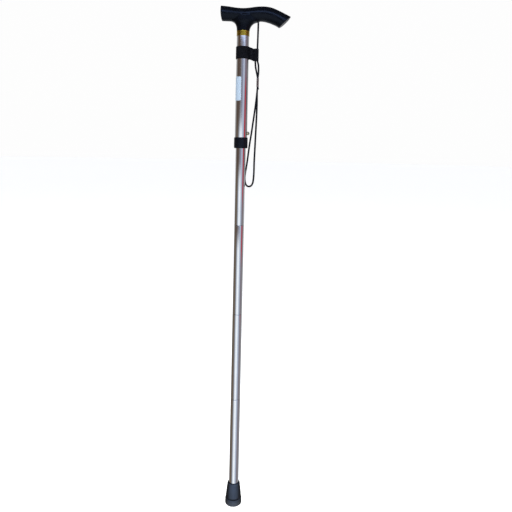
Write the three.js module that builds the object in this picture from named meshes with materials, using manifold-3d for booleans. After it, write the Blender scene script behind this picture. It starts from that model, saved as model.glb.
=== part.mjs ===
// A folding walking cane: a moulded derby handle on a telescopic aluminium shaft that folds at three
// plug joints, with a rubber tip, a holding band and a cord wrist loop.
// Millimetres, +Z up the shaft, +X towards the long arm of the handle.
// The origin is the centre of the rubber tip's sole, on the floor.
import * as THREE from "three";
import { mergeVertices } from "three/addons/utils/BufferGeometryUtils.js";
import Module from "manifold-3d";

const wasm = await Module();
wasm.setup();

// ---- driving dimensions ----

// shaft heights, measured from the floor with the cane at its longest
const TIP_TUBE_BOTTOM = 6.3;
const JOINT_HEIGHTS = [499, 339.5, 187.5];
const INNER_TUBE_TOP = 700;
const OUTER_TUBE_BOTTOM = 646;
const OUTER_TUBE_TOP = 846;

// tubes, with the facets round a piece that shows and round one that doesn't
const INNER_TUBE = { bore: 8.0, outside: 9.0 };
const OUTER_TUBE = { bore: 9.9, outside: 11.1 };
const TUBE_END_CHAMFER = 0.4;
const TUBE_SEGMENTS = 40;
const HIDDEN_SEGMENTS = 24;
const CORD_SEGMENTS = 16;

// collar under the handle, and the lock nut with its clamp ring under the outer tube
const COLLAR = { bottom: 838.4, height: 9.2, bore: 11.22, outside: 11.65 };
const NUT = { bottom: 637, height: 19.5, lip: 1.4, outside: 12.3 };
const CLAMP = { bottom: 638.7, height: 1.9, outside: 10.9 };
const COLLET = { bottom: 640.9, top: 656, outside: 11.0, slitWidth: 1.2, slitTop: 643.5 };
const LABEL = { bottom: 722, height: 43, from: 185, to: 263, thickness: 0.2 };

// height adjustment: a sprung button in one of a row of holes
const BUTTON_HEIGHT = 664;
const HOLE_COUNT = 7;
const HOLE_PITCH = 17;
const HOLE_RADIUS = 3.45;
const BUTTON_RADIUS = 3.2;
const BUTTON_TIP = 15.3;
const BUTTON_ROOT = 7.4;

// fold joints: a plug on the lower section stands in the tube above it
const BUTT_GAP = 0.3;
const PLUG_DEPTH = 16;
const PLUG_NOSE = 18;
const CORD_HOLE_RADIUS = 2.6;
const CORD_RADIUS = 2.0;
const CORD_BEND_LENGTH = 19.6;
const CORD_GAP = 0.4;
const ANCHOR = { radius: 7.8, height: 5, upper: 632, lower: 52 };

// handle, seen from the side: a long arm to +X and a short arm to -X
const HANDLE_TOP = [
  [-46, 893.3],
  [-28, 891.7],
  [-13, 889.7],
  [0, 889.1],
  [12, 890.3],
  [24, 892.1],
  [38, 892.7],
  [50, 891.1],
  [62, 886.6],
  [75, 880.4],
  [96, 869.9],
];
const HANDLE_UNDER = [
  [-46, 865.6],
  [-20, 865.0],
  [10, 864.8],
  [32, 865.8],
  [44, 863.8],
  [54, 860.2],
  [64, 855.0],
  [96, 832.8],
];
const HANDLE_HALF_WIDTHS = [
  [-46, 11.6],
  [-20, 12.6],
  [20, 13.4],
  [50, 13.0],
  [96, 11.8],
];
const HANDLE_STATIONS = 26;
const HANDLE_SEGMENTS = 28;
const SHORT_END = { x: 13.3, z: 884, radius: 55 };
const LONG_END = { x: 13.1, z: 928.7, radius: 90 };
const NECK_BOTTOM = 848;
const NECK_TOP = 876;
const NECK_RADIUS = 11.7;
const NECK_FRONT = { from: 847, height: 17.5, reach: 17 };
const NECK_BACK = { from: 850, height: 14.2, reach: 9 };
const NECK_SIDE_FLARE = 1.2;

// handle fixing: a plug in the tube's top with a stem in the handle, and one long screw
const PLUG_STEM = { radius: 7.0, top: 866, bottom: 816 };
const SCREW = { head: 4.6, shank: 2.4, headBottom: 822, headTop: 825.6, top: 880 };

// strap: elastic band round the shaft, cord up to the handle, and the wrist loop
const BAND_BOTTOM = 797.2;
const BAND_HEIGHT = 22.2;
const BAND_THICKNESS = 1.0;
const BAND_DROOP = 2.8;
const EYELET = { x: 24.5, halfLength: 3.4, halfWidth: 1.95, wall: 0.9 };
const STRAP_CORD_RADIUS = 1.5;
const HANDLE_CORD = { bottomX: 26.05, bottom: 798, topX: 27, top: 864 };
const EYE = { x: 26.2, z: 789.6, radius: 2.6 };
const CRIMP = { x: 28.0, bottom: 748, top: 763.4, wall: 0.4 };
const STRAND_OFFSET = 1.65;

// ---- materials, one colour and finish each ----

const FINISHES = {
  handlePlastic: { color: 0x0b0d14, roughness: 0.32, metalness: 0 },
  polishedAluminium: { color: 0xd8dadd, roughness: 0.1, metalness: 1 },
  gold: { color: 0xa98a22, roughness: 0.3, metalness: 1 },
  blackPlastic: { color: 0x0d0e12, roughness: 0.4, metalness: 0 },
  brass: { color: 0xb49a5a, roughness: 0.25, metalness: 1 },
  springSteel: { color: 0x9a9a98, roughness: 0.35, metalness: 1 },
  zincSteel: { color: 0xb8bbc0, roughness: 0.4, metalness: 1 },
  naturalNylon: { color: 0xd9d4c6, roughness: 0.5, metalness: 0 },
  shockCord: { color: 0x17181c, roughness: 0.85, metalness: 0 },
  strapCord: { color: 0x0e1018, roughness: 0.75, metalness: 0 },
  elasticWebbing: { color: 0x08090d, roughness: 0.85, metalness: 0 },
  crimpMetal: { color: 0x5c4c48, roughness: 0.35, metalness: 1 },
  labelFilm: { color: 0xb4c6d8, roughness: 0.3, metalness: 0 },
  tipRubber: { color: 0x262c34, roughness: 0.75, metalness: 0 },
};

const cane = new THREE.Group();

function addPart(name, geometry, finish, height = 0) {
  const mesh = new THREE.Mesh(geometry, new THREE.MeshStandardMaterial(FINISHES[finish]));
  mesh.name = name;
  mesh.position.z = height;
  cane.add(mesh);
}

// ---- solids and shapes ----

// A closed geometry as a manifold-3d solid.
function solidOf(geometry) {
  const bare = new THREE.BufferGeometry();
  const loose = geometry.index ? geometry.toNonIndexed() : geometry;
  bare.setAttribute("position", loose.getAttribute("position"));
  const merged = mergeVertices(bare, 1e-4);
  return new wasm.Manifold(
    new wasm.Mesh({
      numProp: 3,
      vertProperties: merged.attributes.position.array,
      triVerts: new Uint32Array(merged.index.array),
    }),
  );
}

// A manifold-3d solid as a geometry.
function geometryOf(solid) {
  const mesh = solid.getMesh();
  const geometry = new THREE.BufferGeometry();
  geometry.setAttribute("position", new THREE.BufferAttribute(mesh.vertProperties, 3));
  geometry.setIndex(new THREE.BufferAttribute(mesh.triVerts, 1));
  geometry.computeVertexNormals();
  return geometry;
}

function cut(geometry, ...tools) {
  return geometryOf(tools.reduce((left, tool) => left.subtract(solidOf(tool)), solidOf(geometry)));
}

function join(first, ...others) {
  return geometryOf(others.reduce((sum, other) => sum.add(solidOf(other)), solidOf(first)));
}

function keepInside(geometry, ...limits) {
  return geometryOf(limits.reduce((left, limit) => left.intersect(solidOf(limit)), solidOf(geometry)));
}

// Turns a [radius, height] profile about Z. A profile with a hole up its middle is closed by its own
// first point; a solid one starts and ends on the axis.
function turned(profile, segments = TUBE_SEGMENTS) {
  const onAxis = profile[0][0] === 0;
  const outline = onAxis ? profile : [...profile, profile[0]];
  const points = outline.map(([radius, height]) => new THREE.Vector2(radius, height));
  return new THREE.LatheGeometry(points, segments).rotateX(Math.PI / 2);
}

function ring(bore, outside, bottom, top, segments) {
  return turned(
    [
      [bore, bottom],
      [outside, bottom],
      [outside, top],
      [bore, top],
    ],
    segments,
  );
}

// A round bar along Z.
function bar(radius, bottom, top, segments = HIDDEN_SEGMENTS) {
  const rod = new THREE.CylinderGeometry(radius, radius, top - bottom, segments);
  return rod.rotateX(Math.PI / 2).translate(0, 0, (bottom + top) / 2);
}

// A round bar along X, for a hole through one side of a tube.
function crossBar(radius, height, length = 20) {
  const rod = new THREE.CylinderGeometry(radius, radius, length, HIDDEN_SEGMENTS);
  return rod.rotateZ(Math.PI / 2).translate(length / 2, 0, height);
}

// A tube with a small chamfer round both ends, from 0 up to its length.
function plainTube({ bore, outside }, length) {
  const edge = outside - TUBE_END_CHAMFER;
  return turned([
    [bore, 0],
    [edge, 0],
    [outside, TUBE_END_CHAMFER],
    [outside, length - TUBE_END_CHAMFER],
    [edge, length],
    [bore, length],
  ]);
}

// A round cord along a smooth line through [x, y, z] points.
function cordAlong(points, radius, steps) {
  const line = new THREE.CatmullRomCurve3(points.map((p) => new THREE.Vector3(...p)));
  const section = new THREE.Shape().absarc(0, 0, radius, 0, Math.PI * 2);
  return new THREE.ExtrudeGeometry(section, {
    steps,
    curveSegments: 6,
    bevelEnabled: false,
    extrudePath: line,
  });
}

// A slot shape with round ends, lying along X.
function roundEndedSlot(shape, centreX, halfLength, halfWidth) {
  const reach = halfLength - halfWidth;
  shape.moveTo(centreX - reach, -halfWidth);
  shape.lineTo(centreX + reach, -halfWidth);
  shape.absarc(centreX + reach, 0, halfWidth, -Math.PI / 2, Math.PI / 2);
  shape.lineTo(centreX - reach, halfWidth);
  shape.absarc(centreX - reach, 0, halfWidth, Math.PI / 2, Math.PI * 1.5);
  return shape;
}

function extruded(shape, height, bottom, curveSegments = 12) {
  const options = { depth: height, bevelEnabled: false, curveSegments };
  return new THREE.ExtrudeGeometry(shape, options).translate(0, 0, bottom);
}

// Reads a smooth curve through [x, value] points.
function curveThrough(points) {
  const curve = new THREE.SplineCurve(points.map(([x, value]) => new THREE.Vector2(x, value)));
  const samples = curve.getPoints(points.length * 12);
  return (x) => {
    const next = samples.findIndex((sample) => sample.x >= x);
    if (next <= 0) return samples[next === 0 ? 0 : samples.length - 1].y;
    const [a, b] = [samples[next - 1], samples[next]];
    return a.y + ((x - a.x) / (b.x - a.x)) * (b.y - a.y);
  };
}

// ---- handle ----

// The two arms as one bar of oval sections along X.
function handleArms() {
  const top = curveThrough(HANDLE_TOP);
  const under = curveThrough(HANDLE_UNDER);
  const halfWidth = curveThrough(HANDLE_HALF_WIDTHS);
  const start = HANDLE_TOP[0][0];
  const length = HANDLE_TOP.at(-1)[0] - start;
  const arms = new THREE.CylinderGeometry(1, 1, 1, HANDLE_SEGMENTS, HANDLE_STATIONS);
  const position = arms.attributes.position;
  for (let i = 0; i < position.count; i += 1) {
    const x = start + (position.getY(i) + 0.5) * length;
    const middle = (top(x) + under(x)) / 2;
    const halfHeight = (top(x) - under(x)) / 2;
    const y = position.getZ(i) * halfWidth(x);
    position.setXYZ(i, x, y, middle + position.getX(i) * halfHeight);
  }
  return arms;
}

// How far a fillet that starts upright stands out at a height: a quarter of an ellipse.
function filletReach({ from, height, reach }, z) {
  const rise = THREE.MathUtils.clamp((z - from) / height, 0, 1);
  return reach * (1 - Math.sqrt(1 - rise * rise));
}

// The neck: round where it meets the shaft, and flared into the arms.
function handleNeck() {
  const neck = new THREE.CylinderGeometry(1, 1, 1, HANDLE_SEGMENTS, 14);
  const position = neck.attributes.position;
  for (let i = 0; i < position.count; i += 1) {
    const z = NECK_BOTTOM + (position.getY(i) + 0.5) * (NECK_TOP - NECK_BOTTOM);
    const front = NECK_RADIUS + filletReach(NECK_FRONT, z);
    const back = NECK_RADIUS + filletReach(NECK_BACK, z);
    const side = NECK_RADIUS + filletReach({ ...NECK_FRONT, reach: NECK_SIDE_FLARE }, z);
    const across = position.getZ(i);
    const along = -position.getX(i);
    position.setXYZ(i, (front - back) / 2 + (along * (front + back)) / 2, across * side, z);
  }
  return neck;
}

function endSphere({ x, z, radius }) {
  return new THREE.SphereGeometry(radius, 80, 50).translate(x, 0, z);
}

// The short arm ends on a shallow dome; the box lets the long arm through.
function shortEndLimit() {
  const rest = new THREE.BoxGeometry(120, 60, 100).translate(60, 0, SHORT_END.z);
  return join(endSphere(SHORT_END), rest);
}

function handleGrip() {
  const arms = keepInside(handleArms(), shortEndLimit(), endSphere(LONG_END));
  const stemHole = bar(PLUG_STEM.radius + 0.2, NECK_BOTTOM - 5, PLUG_STEM.top + 0.4);
  const screwHole = bar(SCREW.shank + 0.2, NECK_BOTTOM - 5, SCREW.top + 0.6);
  return cut(join(arms, handleNeck()), stemHole, screwHole);
}

function handlePlug() {
  const { radius, top, bottom } = PLUG_STEM;
  const shoulder = OUTER_TUBE_TOP - 0.2;
  const skirt = OUTER_TUBE.bore - 0.15;
  const counterbore = SCREW.head + 0.5;
  const profile = [
    [counterbore, bottom],
    [skirt, bottom],
    [skirt, shoulder],
    [radius, shoulder],
    [radius, top],
    [SCREW.shank + 0.3, top],
    [SCREW.shank + 0.3, SCREW.headTop + 0.2],
    [counterbore, SCREW.headTop + 0.2],
  ];
  return turned(profile, HIDDEN_SEGMENTS);
}

function handleScrew() {
  const { head, shank, headBottom, headTop, top } = SCREW;
  const profile = [
    [0, headBottom],
    [head, headBottom],
    [head, headTop - 0.6],
    [shank, headTop],
    [shank, top - 4],
    [0, top],
  ];
  return turned(profile, HIDDEN_SEGMENTS);
}

// ---- upper shaft ----

function outerTube() {
  const holes = Array.from({ length: HOLE_COUNT }, (_, i) =>
    crossBar(HOLE_RADIUS, BUTTON_HEIGHT - OUTER_TUBE_BOTTOM + i * HOLE_PITCH),
  );
  return cut(plainTube(OUTER_TUBE, OUTER_TUBE_TOP - OUTER_TUBE_BOTTOM), ...holes);
}

function collarRing() {
  const { height, bore, outside } = COLLAR;
  return turned([
    [bore, 0],
    [outside - 0.2, 0],
    [outside, 0.5],
    [outside, height - 0.5],
    [outside - 0.2, height],
    [bore, height],
  ]);
}

// A sleeve in the outer tube's end with a threaded collar below it, slit so that it can close.
function colletBush() {
  const { bottom, top, outside, slitWidth, slitTop } = COLLET;
  const bore = INNER_TUBE.outside + 0.2;
  const sleeve = OUTER_TUBE.bore - 0.15;
  const shoulder = OUTER_TUBE_BOTTOM - 0.3;
  const bush = turned([
    [bore, bottom],
    [outside - 0.8, bottom],
    [outside, bottom + 0.8],
    [outside, shoulder],
    [sleeve, shoulder],
    [sleeve, top],
    [bore, top],
  ]);
  const depth = slitTop - bottom + 1;
  const slit = new THREE.BoxGeometry(30, slitWidth, depth).translate(0, 0, slitTop - depth / 2);
  const crossSlit = slit.clone().rotateZ(Math.PI / 2);
  return cut(bush, slit, crossSlit);
}

function lockNut() {
  const { height, lip, outside } = NUT;
  const mouth = INNER_TUBE.outside + 0.35;
  const bore = OUTER_TUBE.outside + 0.2;
  return turned([
    [mouth, 0],
    [outside - 1.1, 0],
    [outside - 0.3, 0.35],
    [outside, 1.2],
    [outside, height - 1.2],
    [outside - 0.3, height - 0.3],
    [outside - 0.7, height],
    [bore, height],
    [bore, lip],
    [mouth, lip],
  ]);
}

// The nylon ring that the nut squeezes on to the inner tube.
function clampRing() {
  return ring(INNER_TUBE.outside + 0.25, CLAMP.outside, 0, CLAMP.height, HIDDEN_SEGMENTS);
}

// ---- inner section: tube, button and the upper cord anchor ----

function innerTube() {
  const bottom = JOINT_HEIGHTS[0];
  const hole = crossBar(HOLE_RADIUS, BUTTON_HEIGHT - bottom);
  return cut(plainTube(INNER_TUBE, INNER_TUBE_TOP - bottom), hole);
}

// Closes the inner tube's top and steadies it in the outer tube.
function guideCap() {
  const flange = INNER_TUBE_TOP + 0.3;
  const bottom = INNER_TUBE_TOP - 9;
  const profile = [
    [0, bottom],
    [7.0, bottom],
    [7.75, bottom + 1],
    [7.75, flange],
    [9.7, flange],
    [9.7, flange + 2.4],
    [9.2, flange + 3],
    [0, flange + 3],
  ];
  return turned(profile, HIDDEN_SEGMENTS);
}

function snapButton() {
  const shoulder = BUTTON_TIP - BUTTON_RADIUS + 0.3;
  const profile = [
    [0, BUTTON_ROOT],
    [BUTTON_RADIUS, BUTTON_ROOT],
    [BUTTON_RADIUS, shoulder],
  ];
  for (const degrees of [25, 45, 65]) {
    const angle = THREE.MathUtils.degToRad(degrees);
    const rise = (BUTTON_TIP - shoulder) * Math.sin(angle);
    profile.push([BUTTON_RADIUS * Math.cos(angle), shoulder + rise]);
  }
  profile.push([0, BUTTON_TIP]);
  return turned(profile, 24).rotateY(Math.PI / 2).translate(0, 0, BUTTON_HEIGHT);
}

// A leaf of spring steel bent to a V: one leg carries the button, the other rests on the far wall.
function snapSpring() {
  const foot = 655;
  const knee = 671;
  const bend = 687;
  const outer = [
    [7.2, foot],
    [7.2, knee],
    [2.2, bend],
  ];
  const inner = [
    [1.8, bend - 0.7],
    [6.6, knee - 0.2],
    [6.6, foot],
  ];
  const mirrored = (points) => points.map(([x, z]) => [-x, z]).reverse();
  const outline = [...outer, ...mirrored(outer), ...mirrored(inner), ...inner];
  const leaf = new THREE.Shape(outline.map(([x, z]) => new THREE.Vector2(x, z)));
  const width = 6;
  const options = { depth: width, bevelEnabled: false };
  return new THREE.ExtrudeGeometry(leaf, options).rotateX(Math.PI / 2).translate(0, width / 2, 0);
}

// ---- fold joints, lower sections and the shock cord ----

// The joint plug, its base pressed in the lower tube: a land at the mouth and one at the head guide it,
// and the waist and the tapered nose let it swing clear of the upper tube. Height 0 is the butt plane.
function jointPlug() {
  const profile = [
    [CORD_HOLE_RADIUS, -PLUG_DEPTH],
    [7.0, -PLUG_DEPTH],
    [7.8, -PLUG_DEPTH + 1],
    [7.8, -1],
    [7.3, -0.4],
    [7.3, 0.9],
    [6.3, 2.4],
    [6.3, 6.4],
    [6.9, 8.4],
    [6.9, 11.8],
    [6.2, 14],
    [5.4, 16],
    [4.4, PLUG_NOSE],
    [CORD_HOLE_RADIUS, PLUG_NOSE],
  ];
  return turned(profile, HIDDEN_SEGMENTS);
}

function cordAnchor() {
  return ring(CORD_RADIUS + 0.4, ANCHOR.radius, 0, ANCHOR.height, HIDDEN_SEGMENTS);
}

// The cord above the first joint, with the knot that holds it over its anchor.
function topCord(bottom) {
  const plainEnd = [
    [0, bottom],
    [CORD_RADIUS, bottom],
  ];
  return turned([...plainEnd, ...knot(ANCHOR.upper + ANCHOR.height, 1)], CORD_SEGMENTS);
}

// The cord in the last section, with the knot under its anchor.
function bottomCord(top) {
  const plainEnd = [
    [CORD_RADIUS, top],
    [0, top],
  ];
  return turned([...knot(ANCHOR.lower, -1).reverse(), ...plainEnd], CORD_SEGMENTS);
}

// A pear-shaped knot on one face of an anchor, from the cord's own radius out to its closed end.
function knot(face, direction) {
  const outline = [
    [CORD_RADIUS, 0.4],
    [3.2, 0.8],
    [4.1, 2.6],
    [3.6, 5.6],
    [2.0, 7.6],
    [0, 8],
  ];
  return outline.map(([radius, distance]) => [radius, face + direction * distance]);
}

function rubberTip() {
  return turned([
    [0, 0],
    [4.2, 0],
    [4.8, 1.2],
    [6.6, 1.2],
    [7.2, 0],
    [13.2, 0],
    [14.2, 0.4],
    [14.6, 1.4],
    [14.6, 10.2],
    [14.2, 10.8],
    [12.8, 11.2],
    [12.8, 12.1],
    [13.8, 12.8],
    [12.6, 24.6],
    [11.1, 35.6],
    [10.9, 36.9],
    [10.4, 37.4],
    [9.2, 37.4],
    [9.2, 5.0],
    [0, 5.0],
  ]);
}

// ---- strap ----

// The band is one strip of elastic: a ring round the tube, its two ends sewn flat together, and an
// eyelet fold at the far end for the cord. The free end hangs a little lower than the ring.
function strapBand() {
  const ringBore = OUTER_TUBE.outside + 0.2;
  const ringOutside = ringBore + BAND_THICKNESS;
  const { x, halfLength, halfWidth, wall } = EYELET;
  const ringSolid = ring(ringBore, ringOutside, 0, BAND_HEIGHT);
  const tabStart = ringBore + BAND_THICKNESS / 2;
  const tabLength = x - tabStart;
  const tab = new THREE.BoxGeometry(tabLength, 2 * BAND_THICKNESS, BAND_HEIGHT);
  tab.translate(tabStart + tabLength / 2, 0, BAND_HEIGHT / 2);
  const fold = roundEndedSlot(new THREE.Shape(), x, halfLength + wall, halfWidth + wall);
  const slot = roundEndedSlot(new THREE.Shape(), x, halfLength, halfWidth);
  const whole = join(ringSolid, tab, extruded(fold, BAND_HEIGHT, 0));
  const band = cut(whole, extruded(slot, BAND_HEIGHT + 2, -1));
  const position = band.attributes.position;
  const foldStart = x - halfLength - wall;
  for (let i = 0; i < position.count; i += 1) {
    const alongTab = (position.getX(i) - ringOutside) / (foldStart - ringOutside);
    const droop = THREE.MathUtils.clamp(alongTab, 0, 1) * BAND_DROOP;
    position.setZ(i, BAND_BOTTOM + position.getZ(i) - droop);
  }
  return band;
}

function handleCord() {
  const { bottomX, bottom, topX, top } = HANDLE_CORD;
  const ends = [
    [bottomX, 0, bottom],
    [topX, 0, top],
  ];
  return cordAlong(ends, STRAP_CORD_RADIUS, 1);
}

// The wrist cord: an eye over the crimp and a long loop under it, which hangs just behind the shaft.
// The crimp squeezes their four ends into one flat core.
function wristCord() {
  const { x } = CRIMP;
  const front = -STRAND_OFFSET;
  const back = STRAND_OFFSET;
  const archPoint = (degrees) => {
    const angle = THREE.MathUtils.degToRad(degrees);
    return [EYE.x - EYE.radius * Math.cos(angle), 0, EYE.z + EYE.radius * Math.sin(angle)];
  };
  const arch = [0, 45, 90, 135, 180].map(archPoint);
  const eyeEnd = CRIMP.top - 3;
  const eye = [
    [x, front, eyeEnd],
    [x, front, CRIMP.top],
    [25.6, -1.1, 774],
    [23.8, -0.4, 783],
    ...arch,
    [29.1, 0.4, 783],
    [29.2, 1.1, 774],
    [x, back, CRIMP.top],
    [x, back, eyeEnd],
  ];
  const loopEnd = CRIMP.bottom + 3;
  const loop = [
    [x, front, loopEnd],
    [x, front, CRIMP.bottom],
    [27.3, -1.7, 738],
    [25.6, -1.6, 720],
    [23.5, -1.3, 702],
    [21.2, -0.8, 684],
    [18.9, -0.2, 666],
    [16.3, 0.6, 648],
    [14.1, 2.0, 630],
    [12.0, 4.2, 612],
    [9.9, 6.6, 598],
    [8.4, 8.2, 587],
    [8.8, 8.0, 577],
    [11.4, 6.0, 570.5],
    [15.4, 3.8, 568.3],
    [19.6, 2.2, 569.6],
    [22.6, 1.0, 574],
    [24.0, 0.4, 582],
    [24.6, 0.1, 594],
    [24.8, 0.1, 614],
    [25.6, 0.3, 639],
    [26.4, 0.7, 666],
    [27.2, 1.2, 692],
    [27.6, 1.6, 718],
    [27.4, 1.7, 738],
    [x, back, CRIMP.bottom],
    [x, back, loopEnd],
  ];
  const { halfLength, halfWidth } = crimpedCore();
  const core = roundEndedSlot(new THREE.Shape(), 0, halfLength, halfWidth);
  const squeezed = extruded(core, CRIMP.top - CRIMP.bottom - 2, CRIMP.bottom + 1, 8);
  return join(
    squeezed.rotateZ(Math.PI / 2).translate(x, 0, 0),
    cordAlong(eye, STRAP_CORD_RADIUS, 30),
    cordAlong(loop, STRAP_CORD_RADIUS, 60),
  );
}

// The half sizes of the two strands squeezed one behind the other.
function crimpedCore() {
  return {
    halfLength: STRAND_OFFSET + STRAP_CORD_RADIUS + 0.1,
    halfWidth: STRAP_CORD_RADIUS + 0.1,
  };
}

function cordCrimp() {
  const halfLength = crimpedCore().halfLength + 0.15;
  const halfWidth = crimpedCore().halfWidth + 0.15;
  const { x, wall, bottom, top } = CRIMP;
  const sleeve = roundEndedSlot(new THREE.Shape(), 0, halfLength + wall, halfWidth + wall);
  sleeve.holes.push(roundEndedSlot(new THREE.Path(), 0, halfLength, halfWidth));
  return extruded(sleeve, top - bottom, bottom, 8).rotateZ(Math.PI / 2).translate(x, 0, 0);
}

// A plain film label on the short-arm side of the outer tube.
function blankLabel() {
  const inner = OUTER_TUBE.outside + 0.1;
  const from = THREE.MathUtils.degToRad(LABEL.from);
  const to = THREE.MathUtils.degToRad(LABEL.to);
  const film = new THREE.Shape();
  film.absarc(0, 0, inner + LABEL.thickness, from, to);
  film.absarc(0, 0, inner, to, from, true);
  return extruded(film, LABEL.height, 0, 10);
}

// ---- assembly ----

addPart("handle_grip", handleGrip(), "handlePlastic");
addPart("handle_plug", handlePlug(), "blackPlastic");
addPart("handle_screw", handleScrew(), "zincSteel");
addPart("collar_ring", collarRing(), "gold", COLLAR.bottom);
addPart("outer_tube", outerTube(), "polishedAluminium", OUTER_TUBE_BOTTOM);
addPart("collet_bush", colletBush(), "naturalNylon");
addPart("blank_label", blankLabel(), "labelFilm", LABEL.bottom);

addPart("lock_nut", lockNut(), "blackPlastic", NUT.bottom);
addPart("clamp_ring", clampRing(), "naturalNylon", CLAMP.bottom);

addPart("inner_tube", innerTube(), "polishedAluminium", JOINT_HEIGHTS[0]);
addPart("guide_cap", guideCap(), "blackPlastic");
addPart("snap_button", snapButton(), "brass");
addPart("snap_spring", snapSpring(), "springSteel");

// a length of cord starts above the bend in the joint under it and ends at the joint above it
const cordStart = (joint) => JOINT_HEIGHTS[joint] + PLUG_NOSE + CORD_GAP + CORD_BEND_LENGTH + CORD_GAP;
const cordEnd = (joint) => JOINT_HEIGHTS[joint] + PLUG_NOSE - 0.2;

addPart("cord_anchor_top", cordAnchor(), "naturalNylon", ANCHOR.upper);
addPart("cord_anchor_bottom", cordAnchor(), "naturalNylon", ANCHOR.lower);
addPart("shock_cord_1", topCord(cordStart(0)), "shockCord");
addPart("shock_cord_2", bar(CORD_RADIUS, cordStart(1), cordEnd(0), CORD_SEGMENTS), "shockCord");
addPart("shock_cord_3", bar(CORD_RADIUS, cordStart(2), cordEnd(1), CORD_SEGMENTS), "shockCord");
addPart("shock_cord_4", bottomCord(cordEnd(2)), "shockCord");

JOINT_HEIGHTS.forEach((height, i) => {
  const tubeBottom = i < 2 ? JOINT_HEIGHTS[i + 1] : TIP_TUBE_BOTTOM;
  const tubeLength = height - BUTT_GAP - tubeBottom;
  const bendBottom = height + PLUG_NOSE + CORD_GAP;
  const bend = bar(CORD_RADIUS, 0, CORD_BEND_LENGTH, CORD_SEGMENTS);
  addPart(`joint_plug_${i + 1}`, jointPlug(), "blackPlastic", height);
  addPart(`cord_bend_${i + 1}`, bend, "shockCord", bendBottom);
  addPart(`tube_${i + 2}`, plainTube(INNER_TUBE, tubeLength), "polishedAluminium", tubeBottom);
});

addPart("rubber_tip", rubberTip(), "tipRubber");
addPart("tip_washer", bar(INNER_TUBE.outside - 0.2, 5.2, 6.1, HIDDEN_SEGMENTS), "zincSteel");

addPart("strap_band", strapBand(), "elasticWebbing");
addPart("handle_cord", handleCord(), "strapCord");
addPart("wrist_cord", wristCord(), "strapCord");
addPart("cord_crimp", cordCrimp(), "crimpMetal");

export default cane;
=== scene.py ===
"""The looks of a folding walking cane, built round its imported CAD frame.

Lengths are in millimetres until a mesh is made, +Z is up the shaft and +X points along the handle's
long arm. Heights and radii come from the frame's boxes; the rest are named below.
"""

import functools
import math

import bpy
import numpy as np
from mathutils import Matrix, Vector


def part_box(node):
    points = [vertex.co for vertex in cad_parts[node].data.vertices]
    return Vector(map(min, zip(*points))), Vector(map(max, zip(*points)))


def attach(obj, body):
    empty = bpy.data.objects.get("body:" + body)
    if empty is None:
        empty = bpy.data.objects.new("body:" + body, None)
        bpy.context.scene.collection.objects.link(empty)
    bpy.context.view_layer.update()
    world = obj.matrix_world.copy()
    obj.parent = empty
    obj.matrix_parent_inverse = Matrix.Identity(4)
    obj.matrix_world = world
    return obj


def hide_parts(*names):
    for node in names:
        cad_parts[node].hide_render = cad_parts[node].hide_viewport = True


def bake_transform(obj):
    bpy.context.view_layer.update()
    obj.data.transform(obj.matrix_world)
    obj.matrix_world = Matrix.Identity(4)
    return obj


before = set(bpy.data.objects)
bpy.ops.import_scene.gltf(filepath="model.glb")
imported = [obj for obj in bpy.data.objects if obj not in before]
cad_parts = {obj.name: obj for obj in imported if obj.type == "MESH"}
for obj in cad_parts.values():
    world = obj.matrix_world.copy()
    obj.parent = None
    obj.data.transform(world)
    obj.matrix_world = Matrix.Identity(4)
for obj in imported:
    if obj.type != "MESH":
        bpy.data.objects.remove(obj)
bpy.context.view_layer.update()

MM = 0.001
LATHE_SEGMENTS = 112
SMALL_SEGMENTS = 64
TWO_PI = 2 * math.pi

# handle: a long arm to +X and a short arm to -X, as [x, z] or [x, half width] points
HANDLE_TOP = [
    (-46, 893.3),
    (-28, 891.7),
    (-13, 889.7),
    (0, 889.1),
    (12, 890.3),
    (24, 892.1),
    (38, 892.7),
    (50, 891.1),
    (62, 886.6),
    (75, 880.4),
    (96, 869.9),
]
HANDLE_UNDER = [
    (-46, 865.6),
    (-20, 865.0),
    (10, 864.8),
    (32, 865.8),
    (44, 863.8),
    (54, 860.2),
    (64, 855.0),
    (96, 832.8),
]
HANDLE_HALF_WIDTHS = [(-46, 11.6), (-20, 12.6), (20, 13.4), (50, 13.0), (96, 11.8)]
SHORT_END_DOME = {"x": 13.3, "z": 884.0, "radius": 55.0}
LONG_END_DOME = {"x": 13.1, "z": 928.7, "radius": 90.0}
NECK = {"bottom": 848.0, "top": 876.0, "radius": 11.7}
NECK_FLARES = {
    "front": {"start": 847.0, "height": 17.5, "reach": 17.0},
    "back": {"start": 850.0, "height": 14.2, "reach": 9.0},
    "side": {"start": 847.0, "height": 17.5, "reach": 2.4},
}
HANDLE_VOXEL = 0.75

# fold joints: the plug's nose over the butt plane, and where the cord starts to bend above it
PLUG_NOSE = 18.0
CORD_BEND_ZONE = 6.5

# strap
BAND_THICKNESS = 1.0
BAND_DROOP = 2.8
EYELET = {"x": 24.5, "half_length": 3.4, "half_width": 1.95}
CORD_RADIUS = 1.65
STRAND_OFFSET = 1.65


# ---- numbers and lines ----


@functools.cache
def box_mm(node):
    """Lowest and highest corner of a CAD node in millimetres."""
    low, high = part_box(node)
    return np.array(low) / MM, np.array(high) / MM


def smooth_line(points, steps):
    """Points along a smooth line through the given ones, steps to each stretch."""
    given = np.array(points, float)
    last = len(given) - 1
    line = []
    for i in range(last):
        before, here = given[max(i - 1, 0)], given[i]
        there, after = given[i + 1], given[min(i + 2, last)]
        for t in np.arange(steps) / steps:
            leave, arrive = (there - before) / 2, (after - here) / 2
            line.append(
                (2 * t**3 - 3 * t**2 + 1) * here
                + (t**3 - 2 * t**2 + t) * leave
                + (3 * t**2 - 2 * t**3) * there
                + (t**3 - t**2) * arrive
            )
    line.append(given[last])
    return np.array(line)


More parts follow.
